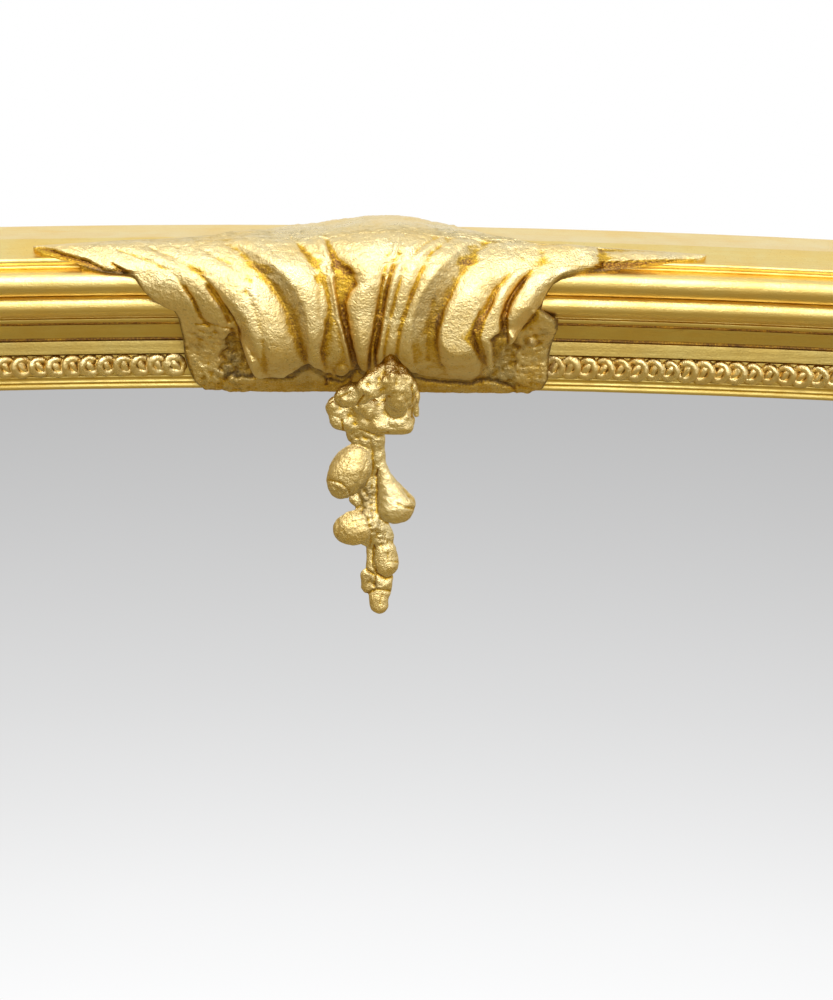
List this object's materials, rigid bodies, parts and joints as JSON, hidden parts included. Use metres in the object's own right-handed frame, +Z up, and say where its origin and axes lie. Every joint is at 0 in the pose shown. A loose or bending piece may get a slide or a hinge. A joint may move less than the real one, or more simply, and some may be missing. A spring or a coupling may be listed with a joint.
{
  "type": "overmantel mirror",
  "caption": "Tall mirror in a gilt frame with a gently arched moulded top, rounded shoulders, a fluted leaf clasp and a fruit pendant over the glass.",
  "frame": {"origin": "middle of the base's back edge, where the shelf meets the wall", "axes": "+X to the right seen from the front, +Z up, the front faces -Y and the wall is the plane y = 0"},
  "size_m": [1.456, 0.09, 1.5509],
  "materials": {
    "gilt_crown": "water gilding over gesso, worn",
    "gilt_frieze": "water gilding over gesso, satin",
    "gilt_ornament": "gilded composition",
    "gilt_slip": "burnished gilding",
    "gilt_clasp": "gilded composition, amber in the hollows",
    "gilt_pendant": "burnished gilded composition",
    "mirror_glass": "silvered plate glass",
    "pine": "bare planed pine",
    "old_pine": "bare sawn pine, darkened",
    "brass": "aged brass",
    "steel": "old steel screws"
  },
  "bodies": {
    "frame": {"core_bottom": "pine", "core_left": "pine", "core_right": "pine", "core_left_shoulder": "pine", "core_right_shoulder": "pine", "core_top_left": "pine", "core_top_right": "pine", "crown_bottom": "gilt_crown", "crown_left": "gilt_crown", "crown_right": "gilt_crown", "crown_left_shoulder": "gilt_crown", "crown_right_shoulder": "gilt_crown", "crown_top_left": "gilt_crown", "crown_top_right": "gilt_crown", "frieze_bottom": "gilt_frieze", "frieze_left": "gilt_frieze", "frieze_right": "gilt_frieze", "frieze_left_shoulder": "gilt_frieze", "frieze_right_shoulder": "gilt_frieze", "frieze_top_left": "gilt_frieze", "frieze_top_right": "gilt_frieze", "ornament_bottom": "gilt_ornament", "ornament_left": "gilt_ornament", "ornament_right": "gilt_ornament", "ornament_left_shoulder": "gilt_ornament", "ornament_right_shoulder": "gilt_ornament", "ornament_top_left": "gilt_ornament", "ornament_top_right": "gilt_ornament", "slip_bottom": "gilt_slip", "slip_left": "gilt_slip", "slip_right": "gilt_slip", "slip_left_shoulder": "gilt_slip", "slip_right_shoulder": "gilt_slip", "slip_top_left": "gilt_slip", "slip_top_right": "gilt_slip", "mirror_glass": "mirror_glass", "glass_blocks": "pine", "backboard_1": "old_pine", "backboard_2": "old_pine", "backboard_3": "old_pine", "backboard_4": "old_pine", "backboard_5": "old_pine", "backboard_6": "old_pine", "backboard_screws": "steel", "moulding_screws": "steel", "tenon_pegs": "old_pine", "butterfly_keys": "old_pine", "left_wall_plate": "brass", "right_wall_plate": "brass", "wall_plate_screws": "brass", "left_hanger_strap": "brass", "right_hanger_strap": "brass", "hanger_screws": "steel", "leaf_clasp": "gilt_clasp", "fruit_pendant": "gilt_pendant"},
    "left_hanging_ring": {"left_ring": "brass"},
    "right_hanging_ring": {"right_ring": "brass"}
  },
  "joints": [
    {"name": "left_ring_swing", "type": "hinge", "parent": "frame", "child": "left_hanging_ring", "pos_m": [-0.661, -0.0045, 1.16269], "axis": [1, 0, 0], "range_deg": [0, 180]},
    {"name": "right_ring_swing", "type": "hinge", "parent": "frame", "child": "right_hanging_ring", "pos_m": [0.661, -0.0045, 1.16269], "axis": [1, 0, 0], "range_deg": [0, 180]}
  ]
}
